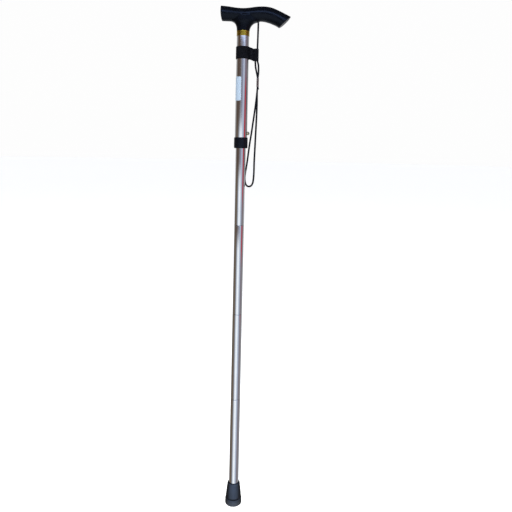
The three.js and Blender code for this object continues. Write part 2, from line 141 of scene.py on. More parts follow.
def evenly_spaced(line, spacing, closed=False):
    """The same line with its points a fixed distance apart."""
    if closed:
        line = np.vstack([line, line[:1]])
    distance = np.concatenate([[0], np.cumsum(np.linalg.norm(np.diff(line, axis=0), axis=1))])
    count = max(4, round(distance[-1] / spacing))
    marks = np.linspace(0, distance[-1], count + 1)
    if closed:
        marks = marks[:-1]
    return np.column_stack([np.interp(marks, distance, line[:, k]) for k in range(3)])


def curve_through(points):
    """A function that reads a smooth curve through [x, value] points."""
    samples = smooth_line(points, 16)
    return lambda x: np.interp(x, samples[:, 0], samples[:, 1])


def rounded(outline, closed, steps=5):
    """An outline of (radius, height, corner radius) points with its corners turned into arcs."""
    points = []
    count = len(outline)
    for i, (radius, height, *corner) in enumerate(outline):
        here = np.array([radius, height], float)
        inside = closed or 0 < i < count - 1
        if not corner or not inside:
            points.append(here)
            continue
        before = np.array(outline[i - 1][:2], float) - here
        after = np.array(outline[(i + 1) % count][:2], float) - here
        before /= np.linalg.norm(before)
        after /= np.linalg.norm(after)
        half = math.acos(np.clip(before @ after, -1, 1)) / 2
        middle = (before + after) / np.linalg.norm(before + after)
        centre = here + middle * corner[0] / math.sin(half)
        start = here + before * corner[0] / math.tan(half) - centre
        sweep = math.pi - 2 * half
        turn = 1 if start[0] * middle[1] - start[1] * middle[0] < 0 else -1
        for k in range(steps + 1):
            angle = turn * sweep * k / steps
            c, s = math.cos(angle), math.sin(angle)
            points.append(centre + [start[0] * c - start[1] * s, start[0] * s + start[1] * c])
    return points


# ---- meshes ----


def ring_faces(rings, around, closed=False):
    """Faces of a stack of rings of points: with a cap at each end, or closed into a loop.

    They face outward when the points of a ring run clockwise, seen from the last ring.
    """
    faces = []
    for i in range(rings if closed else rings - 1):
        here, there = i * around, (i + 1) % rings * around
        for k in range(around):
            n = (k + 1) % around
            faces.append((here + k, there + k, there + n, here + n))
    if not closed:
        faces.append(tuple(range(around)))
        faces.append(tuple(range(rings * around - 1, (rings - 1) * around - 1, -1)))
    return faces


def turned_over(faces):
    return [tuple(reversed(face)) for face in faces]


def mark_places(made, name, places):
    attribute = made.data.attributes.new(name, "FLOAT_VECTOR", "POINT")
    attribute.data.foreach_set("vector", np.array(places, np.float32).ravel())


def new_object(name, vertices, faces, sharp_degrees=32):
    """A mesh object from millimetre vertices, smooth except at edges sharper than the angle."""
    mesh = bpy.data.meshes.new(name)
    mesh.from_pydata((np.array(vertices, float) * MM).tolist(), [], faces)
    mesh.update()
    mesh.shade_smooth()
    mesh.set_sharp_from_angle(angle=math.radians(sharp_degrees))
    made = bpy.data.objects.new(name, mesh)
    bpy.context.scene.collection.objects.link(made)
    return made


def apply_modifiers(made):
    """Bakes an object's modifiers into its mesh."""
    depsgraph = bpy.context.evaluated_depsgraph_get()
    baked = bpy.data.meshes.new_from_object(made.evaluated_get(depsgraph))
    made.modifiers.clear()
    made.data = baked
    return made


def carve(made, cutters):
    """Cuts the other objects out of the first one."""
    for cutter in cutters:
        modifier = made.modifiers.new("cut", "BOOLEAN")
        modifier.operation = "DIFFERENCE"
        modifier.solver = "EXACT"
        modifier.object = cutter
    bpy.context.view_layer.update()
    apply_modifiers(made)
    for cutter in cutters:
        bpy.data.objects.remove(cutter)
    made.data.shade_smooth()
    made.data.set_sharp_from_angle(angle=math.radians(32))
    return made


def lathe(name, outline, closed=False, segments=LATHE_SEGMENTS):
    """Turns an outline about Z. A closed outline makes a ring; an open one starts and ends on the axis."""
    profile = rounded(outline, closed)
    angles = np.arange(segments) / segments * TWO_PI
    vertices, rows = [], []
    for radius, height in profile:
        if radius < 1e-6:
            rows.append([len(vertices)] * segments)
            vertices.append((0, 0, height))
            continue
        rows.append(list(range(len(vertices), len(vertices) + segments)))
        vertices.extend((radius * math.cos(a), radius * math.sin(a), height) for a in angles)
    pairs = list(zip(rows, rows[1:] + rows[:1] if closed else rows[1:]))
    faces = []
    for low, high in pairs:
        for i in range(segments):
            j = (i + 1) % segments
            corners = dict.fromkeys([low[i], low[j], high[j], high[i]])
            if len(corners) > 2:
                faces.append(tuple(corners))
    return new_object(name, vertices, faces)


def hole_cutter(radius, length, height, around=48):
    """A round cutter along X from the shaft's axis."""
    angles = np.arange(around) / around * TWO_PI
    vertices = [
        (x, radius * math.cos(a), height + radius * math.sin(a)) for x in (0, length) for a in angles
    ]
    return new_object("cutter", vertices, ring_faces(2, around))


def frames_along(line, closed):
    """A pair of cross directions at each point of a line, turning as little as they can."""
    if closed:
        forward = np.roll(line, -1, axis=0) - np.roll(line, 1, axis=0)
    else:
        forward = np.gradient(line, axis=0)
    forward /= np.linalg.norm(forward, axis=1)[:, None]
    across = np.cross(forward[0], [0, 1, 0] if abs(forward[0][1]) < 0.9 else [1, 0, 0])
    pairs = []
    for direction in forward:
        across = across - direction * (across @ direction)
        across /= np.linalg.norm(across)
        pairs.append((across, np.cross(direction, across)))
    return pairs


def braided_cord(name, line, radius, spacing=0.55, around=24, strands=8, pitch=5.2, relief=0.07):
    """A round braided cord along a line, with closed round ends.

    Its cord_place attribute holds the distance along it in millimetres and the share of a turn round it.
    """
    path = evenly_spaced(np.array(line, float), spacing)
    directions = frames_along(path, closed=False)
    angles = np.arange(around) / around * TWO_PI
    vertices, places = [], []
    end_scales = [0.45, 0.8, 0.96]
    count = len(path)
    for i, (centre, (across, up)) in enumerate(zip(path, directions)):
        from_end = min(i, count - 1 - i)
        scale = end_scales[from_end] if from_end < len(end_scales) else 1
        along = i * spacing
        for k, angle in enumerate(angles):
            left = math.cos(strands * angle + TWO_PI * along / pitch)
            right = math.cos(strands * angle - TWO_PI * along / pitch)
            r = scale * (radius - relief + relief * max(left, right))
            vertices.append(centre + r * (math.cos(angle) * across + math.sin(angle) * up))
            places.append((along, k / around, 0))
    made = new_object(name, vertices, turned_over(ring_faces(count, around)), 60)
    mark_places(made, "cord_place", places)
    return made


def joined(name, parts):
    """One object from several, in order."""
    vertices, faces, places = [], [], []
    for part in parts:
        offset = len(vertices)
        vertices.extend(np.array(v.co) / MM for v in part.data.vertices)
        faces.extend(tuple(i + offset for i in p.vertices) for p in part.data.polygons)
        if "cord_place" in part.data.attributes:
            places.extend(tuple(d.vector) for d in part.data.attributes["cord_place"].data)
        bpy.data.objects.remove(part)
    made = new_object(name, vertices, faces, 60)
    if len(places) == len(vertices):
        mark_places(made, "cord_place", places)
    return made


def finished(made, material, body, slot, *nodes):
    """Gives a piece its material and body, and hides the CAD nodes that it stands for. The slot argument is
    not used.
    """
    made.data.materials.clear()
    made.data.materials.append(material)
    if body is not None:
        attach(made, body)
    if nodes:
        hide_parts(*nodes)
    return made


# ---- materials ----


class Graph:
    """A node tree, with short ways to add nodes to it."""

    def __init__(self, tree):
        self.nodes = tree.nodes
        self.links = tree.links

    def feed(self, socket, value):
        """Links a socket to another one, or gives it a value."""
        if isinstance(value, bpy.types.NodeSocket):
            self.links.new(value, socket)
        else:
            socket.default_value = value

    def node(self, kind, inputs=None, **settings):
        made = self.nodes.new(kind)
        for label, value in settings.items():
            setattr(made, label, value)
        for label, value in (inputs or {}).items():
            self.feed(made.inputs[label], value)
        return made

    def maths(self, operation, first, second=0.0):
        made = self.node("ShaderNodeMath", {0: first, 1: second}, operation=operation)
        return made.outputs[0]

    def remap(self, value, low, high, to_low, to_high, **settings):
        names = ["Value", "From Min", "From Max", "To Min", "To Max"]
        inputs = dict(zip(names, [value, low, high, to_low, to_high]))
        return self.node("ShaderNodeMapRange", inputs, **settings).outputs[0]

    def blend(self, factor, first, second):
        """A colour between two, by a factor from 0 to 1."""
        made = self.node("ShaderNodeMix", {0: factor}, data_type="RGBA")
        for index, value in ((6, first), (7, second)):
            self.feed(made.inputs[index], value if isinstance(value, bpy.types.NodeSocket) else (*value, 1))
        return made.outputs[2]

    def split(self, vector):
        return self.node("ShaderNodeSeparateXYZ", {0: vector}).outputs


class Finish(Graph):
    """A procedural material: a Principled shader whose inputs come from noise, waves and attributes."""

    def __init__(self, name, colour, roughness, metallic=0.0, **inputs):
        self.material = bpy.data.materials.new(name)
        self.material.use_nodes = True
        self.material.diffuse_color = (*colour, 1)
        super().__init__(self.material.node_tree)
        self.shader = self.nodes["Principled BSDF"]
        self.set("Base Color", (*colour, 1))
        self.set("Roughness", roughness)
        self.set("Metallic", metallic)
        for label, value in inputs.items():
            self.set(label.replace("_", " "), value)

    def set(self, label, value):
        self.feed(self.shader.inputs[label], value)

    def where(self):
        """The three object coordinates."""
        return self.split(self.node("ShaderNodeTexCoord").outputs["Object"])

    def place(self, size):
        """Object coordinates divided by a size in millimetres, one number or one for each axis."""
        sizes = [size] * 3 if isinstance(size, (int, float)) else size
        where = self.node("ShaderNodeTexCoord").outputs["Object"]
        scale = [1 / (s * MM) for s in sizes]
        return self.node("ShaderNodeMapping", {"Vector": where, "Scale": scale}).outputs[0]

    def noise(self, size, detail=3.0):
        """Noise from 0 to 1 whose spots are about this many millimetres across."""
        inputs = {"Vector": self.place(size), "Scale": 1.0, "Detail": detail}
        return self.node("ShaderNodeTexNoise", inputs).outputs[0]

    def bump(self, height, depth):
        """Turns a height from 0 to 1 into relief this many millimetres deep."""
        inputs = {"Height": height, "Distance": depth * MM, "Strength": 1.0}
        self.set("Normal", self.node("ShaderNodeBump", inputs).outputs[0])

    def attribute(self, name):
        """The three numbers of a mesh attribute."""
        return self.split(self.node("ShaderNodeAttribute", attribute_name=name).outputs["Vector"])

    def wave(self, value, turns):
        """A cosine of the value times a number of turns, from 0 to 1."""
        cosine = self.maths("COSINE", self.maths("MULTIPLY", value, turns * TWO_PI))
        return self.remap(cosine, -1, 1, 0, 1)


def moulded_plastic(name, colour, roughness, grain, depth, **inputs):
    """Injection-moulded plastic: a fine grain, and broad patches that are a little glossier."""
    finish = Finish(name, colour, roughness, **inputs)
    patches = finish.noise(14)
    fine = finish.noise(grain, 4)
    lighter = [c * 1.5 + 0.0003 for c in colour]
    finish.set("Base Color", finish.blend(patches, colour, lighter))
    finish.set("Roughness", finish.remap(patches, 0.3, 0.7, roughness - 0.05, roughness + 0.07))
    finish.bump(fine, depth)
    return finish


def handle_plastic():
    """Satin near-black plastic with a parting line along its middle."""
    colour = (0.0007, 0.0009, 0.0016)
    tint = (0.62, 0.75, 1.0, 1)
    shine = {"Specular_Tint": tint, "Specular_IOR_Level": 0.16}
    finish = moulded_plastic("handle_plastic", colour, 0.27, 0.35, 0.004, **shine)
    across = finish.where()[1]
    line = finish.remap(finish.maths("ABSOLUTE", across), 0.00005, 0.00022, 1, 0)
    height = finish.maths("ADD", finish.maths("MULTIPLY", line, 3.0), finish.noise(0.35, 4))
    finish.bump(height, 0.006)
    return finish.material


def drawn_metal(name, colour, roughness, line_depth=0.0012, grain=0.22):
    """Polished drawn tube: hair lines along it, faint smudges, and a few short scuffs."""
    finish = Finish(name, colour, roughness, 1.0)
    lines = finish.noise((grain, grain, 70), 2)
    smudges = finish.noise(18)
    scuffs = finish.remap(finish.noise((0.8, 0.8, 5), 4), 0.66, 0.74, 0, 1)
    rough = finish.remap(lines, 0.35, 0.65, roughness * 0.75, roughness * 1.3)
    rough = finish.maths("ADD", rough, finish.remap(smudges, 0.45, 0.75, 0, 0.05))
    finish.set("Roughness", finish.maths("ADD", rough, finish.maths("MULTIPLY", scuffs, 0.12)))
    duller = [c * 0.9 for c in colour]
    finish.set("Base Color", finish.blend(smudges, colour, duller))
    relief = finish.maths("SUBTRACT", lines, finish.maths("MULTIPLY", scuffs, 0.5))
    finish.bump(relief, line_depth)
    return finish.material


def gold_anodised():
    """Gold collar: fine upright lines and a darker stain at the edges of its patches."""
    finish = Finish("gold_anodised", (0.62, 0.43, 0.05), 0.24, 1.0)
    lines = finish.noise((0.3, 0.3, 30), 3)
    stain = finish.noise(5)
    finish.set("Base Color", finish.blend(stain, (0.66, 0.47, 0.06), (0.42, 0.27, 0.03)))
    finish.set("Roughness", finish.remap(lines, 0.3, 0.7, 0.17, 0.32))
    finish.bump(lines, 0.004)
    return finish.material


def plain_metal(name, colour, roughness, grain):
    """Plated or rolled metal: grains of slightly different shine."""
    finish = Finish(name, colour, roughness, 1.0)
    cells = finish.node("ShaderNodeTexVoronoi", {"Vector": finish.place(grain), "Scale": 1.0})
    shade = cells.outputs["Distance"]
    finish.set("Base Color", finish.blend(shade, colour, [c * 0.8 for c in colour]))
    finish.set("Roughness", finish.remap(shade, 0, 1, roughness, roughness + 0.15))
    finish.bump(finish.noise(grain * 0.4, 3), 0.004)
    return finish.material


def natural_nylon():
    finish = moulded_plastic("natural_nylon", (0.68, 0.63, 0.52), 0.42, 0.5, 0.006)
    finish.set("Subsurface Weight", 0.25)
    finish.set("Subsurface Scale", 0.002)
    return finish.material


def braided_textile(name, dark, light, strands, pitch):
    """Braided cord: two families of yarns that cross, with a fleck of lighter yarn."""
    finish = Finish(name, dark, 0.85, Specular_IOR_Level=0.12)
    along, around, _ = finish.attribute("cord_place")
    turns = finish.maths("MULTIPLY", around, strands)
    advance = finish.maths("DIVIDE", along, pitch)
    left = finish.wave(finish.maths("ADD", turns, advance), 1)
    right = finish.wave(finish.maths("SUBTRACT", turns, advance), 1)
    ridge = finish.maths("MAXIMUM", left, right)
    fibres = finish.noise(0.12, 3)
    fleck = finish.remap(finish.maths("MULTIPLY", left, finish.noise(1.6)), 0.35, 0.6, 0, 1)
    finish.set("Base Color", finish.blend(fleck, dark, light))
    finish.bump(finish.maths("ADD", ridge, finish.maths("MULTIPLY", fibres, 0.5)), 0.09)
    return finish.material


def elastic_webbing():
    """Knitted elastic: fine ribs along its length, crossed by rubber rows."""
    finish = Finish("elastic_webbing", (0.003, 0.0033, 0.005), 0.85, Specular_IOR_Level=0.1)
    along, across, _ = finish.attribute("band_place")
    ribs = finish.wave(across, 1 / 0.75)
    rows = finish.wave(finish.maths("ADD", along, finish.maths("MULTIPLY", ribs, 0.35)), 1 / 0.9)
    height = finish.maths("MULTIPLY", ribs, finish.remap(rows, 0, 1, 0.55, 1))
    worn = finish.noise(4)
    shade = finish.maths("MULTIPLY", height, worn)
    finish.set("Base Color", finish.blend(shade, (0.0012, 0.0013, 0.002), (0.007, 0.0075, 0.011)))
    finish.bump(finish.maths("ADD", height, finish.maths("MULTIPLY", finish.noise(0.15), 0.4)), 0.12)
    return finish.material


def thread():
    finish = Finish("thread", (0.008, 0.009, 0.012), 0.6, Specular_IOR_Level=0.2)
    twist = finish.wave(finish.maths("ADD", *finish.attribute("cord_place")[:2]), 2)
    finish.bump(twist, 0.04)
    finish.set("Base Color", finish.blend(twist, (0.005, 0.0055, 0.008), (0.014, 0.015, 0.02)))
    return finish.material


def label_film():
    """Blank printed film: a very faint orange-peel, and a slightly greyer patch."""
    finish = Finish("label_film", (0.29, 0.36, 0.45), 0.34, Specular_IOR_Level=0.3)
    patches = finish.noise(9)
    finish.set("Base Color", finish.blend(patches, (0.29, 0.365, 0.45), (0.235, 0.30, 0.385)))
    finish.bump(finish.noise(0.9, 2), 0.006)
    return finish.material


def tip_rubber():
    """Moulded rubber: upright flow streaks, fine pores, pale dust at the sole, and painted shade: darker
    where the surface turns away from the view, near-black in the waist groove.
    """
    finish = Finish("tip_rubber", (0.03, 0.042, 0.065), 0.62, Specular_IOR_Level=0.25)
    height = finish.where()[2]
    streaks = finish.noise((0.9, 0.9, 26), 2)
    pores = finish.noise(0.35, 4)
    clean = finish.blend(streaks, (0.021, 0.032, 0.054), (0.035, 0.050, 0.080))
    # painted shade: the colour goes towards near-black where the surface turns away from the view
    facing = finish.node("ShaderNodeLayerWeight", {"Blend": 0.5}).outputs["Facing"]
    painted_rim_shade = finish.remap(facing, 0.0, 0.42, 0, 1)
    # painted shadow: a band from about 10 to 13 mm up, in the waist groove above the flange, goes near-black
    # as well
    above, below = finish.remap(height, 0.0098, 0.0108, 0, 1), finish.remap(height, 0.0123, 0.0133, 1, 0)
    shade = finish.maths("MAXIMUM", painted_rim_shade, finish.maths("MULTIPLY", above, below))
    clean = finish.blend(shade, clean, (0.003, 0.004, 0.006))
    dust = finish.maths("MULTIPLY", finish.remap(height, 0.0, 0.012, 0.6, 0), finish.noise(2.5))
    finish.set("Base Color", finish.blend(dust, clean, (0.10, 0.11, 0.12)))
    finish.set("Roughness", finish.remap(pores, 0.3, 0.7, 0.55, 0.75))
    finish.bump(finish.maths("ADD", streaks, finish.maths("MULTIPLY", pores, 0.6)), 0.03)
    return finish.material


HANDLE_PLASTIC = handle_plastic()
ALUMINIUM = drawn_metal("polished_aluminium", (0.90, 0.905, 0.92), 0.085)
GOLD = gold_anodised()
SHINE = {"Specular_Tint": (0.65, 0.78, 1.0, 1), "Specular_IOR_Level": 0.2}
BLACK_PLASTIC = moulded_plastic(
    "black_plastic", (0.0018, 0.0020, 0.0034), roughness=0.34, grain=0.45, depth=0.008, **SHINE
).material
NYLON = natural_nylon()
ZINC = plain_metal("zinc_steel", (0.62, 0.63, 0.65), 0.3, 1.2)
SPRING_STEEL = plain_metal("spring_steel", (0.45, 0.45, 0.44), 0.28, 0.6)
BRASS = drawn_metal("button_brass", (0.52, 0.46, 0.28), 0.18, 0.003, 0.3)
CRIMP_METAL = drawn_metal("crimp_metal", (0.30, 0.235, 0.21), 0.3, 0.004, 0.3)
STRAP_CORD = braided_textile("strap_cord", (0.0018, 0.002, 0.0035), (0.009, 0.010, 0.017), 8, 5.2)
SHOCK_CORD = braided_textile("shock_cord", (0.012, 0.012, 0.014), (0.16, 0.16, 0.17), 8, 6.0)
WEBBING = elastic_webbing()
THREAD = thread()
LABEL_FILM = label_film()
RUBBER = tip_rubber()


# ---- handle ----


def dome_x(dome, y, z, side):
    """The x of a dome's surface at a place across the arm; side is -1 for the short arm's end."""
    reach = dome["radius"] ** 2 - y**2 - (z - dome["z"]) ** 2
    return dome["x"] + side * math.sqrt(max(reach, 0))


def arms_mesh(around=72, stations=120):
    """The two arms as one closed loft of oval sections that runs from one end dome to the other."""
    top, under = curve_through(HANDLE_TOP), curve_through(HANDLE_UNDER)
    half_width = curve_through(HANDLE_HALF_WIDTHS)

    def oval(x, angle):
        middle, half_height = (top(x) + under(x)) / 2, (top(x) - under(x)) / 2
        return half_width(x) * math.sin(angle), middle + half_height * math.cos(angle)

    def end_x(dome, side, far, angle):
        inside, outside = 0.0, far
        for _ in range(30):
            x = (inside + outside) / 2
            if side * (x - dome_x(dome, *oval(x, angle), side)) < 0:
                inside = x
            else:
                outside = x
        return inside

    angles = [k / around * TWO_PI for k in range(around)]
    ends = ((SHORT_END_DOME, -1, HANDLE_TOP[0][0]), (LONG_END_DOME, 1, HANDLE_TOP[-1][0]))
    first, last = ([end_x(*end, angle) for angle in angles] for end in ends)
    rings = []
    for t in np.linspace(0, 1, stations):
        xs = [a + (b - a) * t for a, b in zip(first, last)]
        rings.append([(x, *oval(x, angle)) for x, angle in zip(xs, angles)])
    caps = []
    for (dome, side, _), rim in zip(ends, (rings[0], rings[-1])):
        middle_z = sum(z for _, _, z in rim) / around
        cap = []
        for scale in (0.9, 0.75, 0.5, 0.25):
            shrunk = [(y * scale, middle_z + (z - middle_z) * scale) for _, y, z in rim]
            cap.append([(dome_x(dome, y, z, side), y, z) for y, z in shrunk])
        caps.append(cap)
    rings = caps[0][::-1] + rings + caps[1]
    return [vertex for ring in rings for vertex in ring], ring_faces(len(rings), around)


def flare(side, z):
    """How far a side of the neck stands out at a height."""
    shape = NECK_FLARES[side]
    rise = min(max((z - shape["start"]) / shape["height"], 0), 1)
    return NECK["radius"] + shape["reach"] * (1 - math.sqrt(1 - rise * rise))


def neck_mesh(around=72, stations=48):
    """The neck: round at the collar and flared into both arms."""
    vertices = []
    for z in np.linspace(NECK["bottom"], NECK["top"], stations):
        front, back, side = flare("front", z), flare("back", z), flare("side", z)
        for k in range(around):
            angle = -k / around * TWO_PI
            x = (front - back) / 2 + math.cos(angle) * (front + back) / 2
            vertices.append((x, side * math.sin(angle), z))
    return vertices, ring_faces(stations, around)


def build_handle():
    arms, arm_faces = arms_mesh()
    neck, neck_faces = neck_mesh()
    moved = [tuple(i + len(arms) for i in face) for face in neck_faces]
    handle = new_object("handle_shell", arms + neck, arm_faces + moved)
    remesh = handle.modifiers.new("voxels", "REMESH")
    remesh.mode = "VOXEL"
    remesh.voxel_size = HANDLE_VOXEL * MM
    apply_modifiers(handle)
    every = handle.vertex_groups.new(name="every")
    root = handle.vertex_groups.new(name="root")
    for vertex in handle.data.vertices:
        x, _, z = np.array(vertex.co) / MM
        every.add([vertex.index], 1.0 if z > NECK["bottom"] + 1.5 else 0.0, "REPLACE")
        near = max(0.0, 1 - abs(z - 865) / 11) * max(0.0, 1 - (abs(x - 3) / 34) ** 4)
        root.add([vertex.index], near, "REPLACE")
    for group, rounds in ((root, 26), (every, 7)):
        smooth = handle.modifiers.new("smooth", "SMOOTH")
        smooth.vertex_group = group.name
        smooth.factor = 0.5
        smooth.iterations = rounds
    apply_modifiers(handle)
    handle.vertex_groups.clear()
    handle.data.shade_smooth()
    handle.data.set_sharp_from_angle(angle=math.radians(50))
    return finished(handle, HANDLE_PLASTIC, "handle_section", "handle_plastic", "handle_grip")


# ---- shaft ----


def tube_outline(bore, outside, bottom, top, lip=0.35):
    return [
        (bore, bottom, lip * 0.6),
        (outside, bottom, lip),
        (outside, top, lip),
        (bore, top, lip * 0.6),
    ]


def build_tubes():
    wall = {"outer_tube": 1.2, "inner_tube": 1.0, "tube_2": 1.0, "tube_3": 1.0, "tube_4": 1.0}
    bodies = dict(zip(wall, ["handle_section", "inner_section", "section_2", "section_3", "section_4"]))
    button_low, button_high = box_mm("snap_button")
    button_height = (button_low[2] + button_high[2]) / 2
    hole_radius = (button_high[2] - button_low[2]) / 2 + 0.25
    hole_counts = {"outer_tube": 7, "inner_tube": 1}
    hole_pitch = 17.0
    for node, thickness in wall.items():
        low, high = box_mm(node)
        outline = tube_outline(high[0] - thickness, high[0], low[2], high[2])
        tube = lathe("shaft_" + node, outline, closed=True)
        cutters = [
            hole_cutter(hole_radius, 30, button_height + i * hole_pitch)
            for i in range(hole_counts.get(node, 0))
        ]
        if cutters:
            carve(tube, cutters)
        finished(tube, ALUMINIUM, bodies[node], "polished_aluminium", node)


def build_collar():
    low, high = box_mm("collar_ring")
    bore = box_mm("outer_tube")[1][0] + 0.1
    outline = [
        (bore, low[2], 0.1),
        (high[0], low[2], 0.3),
        (high[0], low[2] + 1.1, 0.15),
        (high[0] - 0.14, low[2] + 1.35, 0.1),
        (high[0] - 0.14, high[2] - 1.35, 0.1),
        (high[0], high[2] - 1.1, 0.15),
        (high[0], high[2], 0.3),
        (bore, high[2], 0.1),
    ]
    collar = lathe("collar", outline, closed=True)
    finished(collar, GOLD, "handle_section", "gold_collar", "collar_ring")


def build_nut():
    """The lock nut, with a soft shoulder at both ends and a shallow lip where the tube leaves it."""
    low, high = box_mm("lock_nut")
    mouth = box_mm("inner_tube")[1][0] + 0.35
    bore = box_mm("outer_tube")[1][0] + 0.2
    outline = [
        (mouth, low[2], 0.3),
        (high[0] - 0.9, low[2], 0.5),
        (high[0], low[2] + 1.5, 1.2),
        (high[0], high[2] - 1.0, 0.6),
        (high[0] - 0.5, high[2], 0.3),
        (bore, high[2], 0.2),
        (bore, low[2] + 1.4),
        (mouth, low[2] + 1.4),
    ]
    nut = lathe("nut", outline, closed=True)
    finished(nut, BLACK_PLASTIC, "lock_nut", "black_plastic", "lock_nut")


def build_button():
    """The button is turned about Z and then laid along X."""
    low, high = box_mm("snap_button")
    radius = (high[2] - low[2]) / 2
    shoulder = high[0] - radius + 0.3
    rise = high[0] - shoulder
    dome = [
        (radius * math.cos(a), shoulder + rise * math.sin(a)) for a in np.radians([20, 40, 60, 78])
    ]
    outline = [(0, low[0]), (radius, low[0], 0.3), (radius, shoulder - 1), *dome, (0, high[0])]
    button = lathe("button", outline, segments=SMALL_SEGMENTS)
    height = (low[2] + high[2]) / 2
    for vertex in button.data.vertices:
        x, y, z = vertex.co
        vertex.co = (z, y, height * MM - x)
    button.data.update()
    finished(button, BRASS, "snap_button", "button_brass", "snap_button")


def build_plugs():
    """The joint plugs: a land at the mouth, a waist, a land at the head and a tapered nose."""
    for n in (1, 2, 3):
        low, _ = box_mm(f"joint_plug_{n}")
        butt = low[2] + 16
        shape = [
            (2.6, -16, 0.3),
            (7.0, -16),
            (7.8, -15, 0.5),
            (7.8, -1, 0.3),
            (7.3, -0.4),
            (7.3, 0.9, 0.6),
            (6.3, 2.4, 0.8),
            (6.3, 6.4, 0.8),
            (6.9, 8.4, 0.8),
            (6.9, 11.8, 1.2),
            (6.2, 14, 1.5),
            (5.4, 16, 1.2),
            (4.4, PLUG_NOSE, 0.8),
            (2.6, PLUG_NOSE, 0.6),
        ]
        outline = [(r, z + butt, *corner) for r, z, *corner in shape]
        plug = lathe(f"plug_{n}", outline, closed=True, segments=SMALL_SEGMENTS)
        finished(plug, BLACK_PLASTIC, f"section_{n + 1}", "black_plastic", f"joint_plug_{n}")


def build_shock_cord():
    """The elastic cord: straight runs in the sections, and a straight piece over each plug
    whose rings stand close together near the plug's nose.
    """
    sections = ["inner_section", "section_2", "section_3", "section_4"]
    radius = 2.0
    for n, section in enumerate(sections, 1):
        low, high = box_mm(f"shock_cord_{n}")
        ends = [(0, 0, low[2]), (0, 0, high[2])]
        run = braided_cord(f"cord_run_{n}", ends, radius, 1.2, 16, 8, 6.0)
        finished(run, SHOCK_CORD, None, "shock_cord", f"shock_cord_{n}")
        if n == len(sections):
            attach(run, section)
        else:
            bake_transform(run)
    for n in (1, 2, 3):
        low, high = box_mm(f"cord_bend_{n}")
        nose = low[2] - 0.4
        zone = [(0, 0, nose + z) for z in np.linspace(-0.6, CORD_BEND_ZONE, 120)]
        rest = [(0, 0, z) for z in np.linspace(nose + CORD_BEND_ZONE, high[2], 16)[1:]]
        bend = bend_piece(f"cord_turn_{n}", zone + rest, radius)
        finished(bend, SHOCK_CORD, None, "shock_cord", f"cord_bend_{n}")
        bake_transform(bend)


def build_spring():
    """The V spring behind the button: a strip with rounded edges, with one leg at the button and a far leg.
    """
    low, high = box_mm("snap_spring")
    half, thick = (high[1] - low[1]) / 2, 0.27
    reach, knee, top = high[0] - thick - 0.03, low[2] + 16, high[2] - thick - 0.03
    leg = [(reach, low[2] + 0.05), (reach, low[2] + 8), (reach, knee - 1), (reach - 0.5, knee + 1)]
    leg += [(4.2, (knee + top) / 2), (2.3, top - 1.6), (1.2, top - 0.3)]
    path = leg + [(0, top)] + [(-x, z) for x, z in reversed(leg)]
    line = evenly_spaced(smooth_line([(x, 0, z) for x, z in path], 10), 0.5)
    edge = 0.2
    corners = [(thick - edge, half - edge), (edge - thick, half - edge)]
    corners += [(edge - thick, edge - half), (thick - edge, edge - half)]
    section = [
        (across + edge * math.cos(a), y + edge * math.sin(a))
        for turn, (across, y) in enumerate(corners)
        for a in np.radians(np.array([0, 30, 60, 90]) + 90 * turn)
    ]
    vertices = []
    for point, forward in zip(line, np.gradient(line, axis=0)):
        normal = np.array([-forward[2], 0, forward[0]]) / np.linalg.norm(forward)
        vertices.extend(point + across * normal + np.array([0, y, 0]) for across, y in section)
    spring = new_object("leaf_spring", vertices, ring_faces(len(line), len(section)), 40)
    finished(spring, SPRING_STEEL, None, "spring_steel", "snap_spring")
    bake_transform(spring)


def bend_piece(name, centres, radius, around=20):
    """A smooth round cord whose rings stand close where it will bend."""
    vertices, places = [], []
    for _, _, z in centres:
        for k in range(around):
            angle = k / around * TWO_PI
            vertices.append((radius * math.cos(angle), radius * math.sin(angle), z))
            places.append((len(places) / around * 0.5, k / around, 0))
    made = new_object(name, vertices, turned_over(ring_faces(len(centres), around)), 60)
    mark_places(made, "cord_place", places)
    return made


def build_label():
    """The label: a thin film wrapped on the tube, with rounded corners."""
    low, high = box_mm("blank_label")
    inner = box_mm("outer_tube")[1][0] + 0.06
    outer = inner + 0.16
    start, end = math.radians(185), math.radians(263)
    corner = 2.2
    columns, rows = 40, 34
    half_arc, half_height = (end - start) * outer / 2, (high[2] - low[2]) / 2
    middle_angle, middle_height = (start + end) / 2, (low[2] + high[2]) / 2
    shares = np.linspace(-1, 1, columns + 1)
    film = [(outer, share) for share in shares] + [(inner, share) for share in shares[::-1]]
    vertices = []
    for up in np.linspace(-half_height, half_height, rows + 1):
        from_corner = max(0, abs(up) - (half_height - corner))
        inset = corner - math.sqrt(max(corner**2 - from_corner**2, 0))
        for radius, share in film:
            angle = middle_angle + share * (half_arc - inset) / outer
            vertices.append((radius * math.cos(angle), radius * math.sin(angle), middle_height + up))
    label = new_object("label", vertices, turned_over(ring_faces(rows + 1, len(film))))
    finished(label, LABEL_FILM, "handle_section", "label_film", "blank_label")


def faint_groove(radius, low):
    """Outline points of a shallow groove 1.2 mm wide."""
    floor = radius - 0.22
    return [(radius, low, 0.3), (floor, low + 0.3, 0.2), (floor, low + 0.9, 0.2), (radius, low + 1.2, 0.3)]


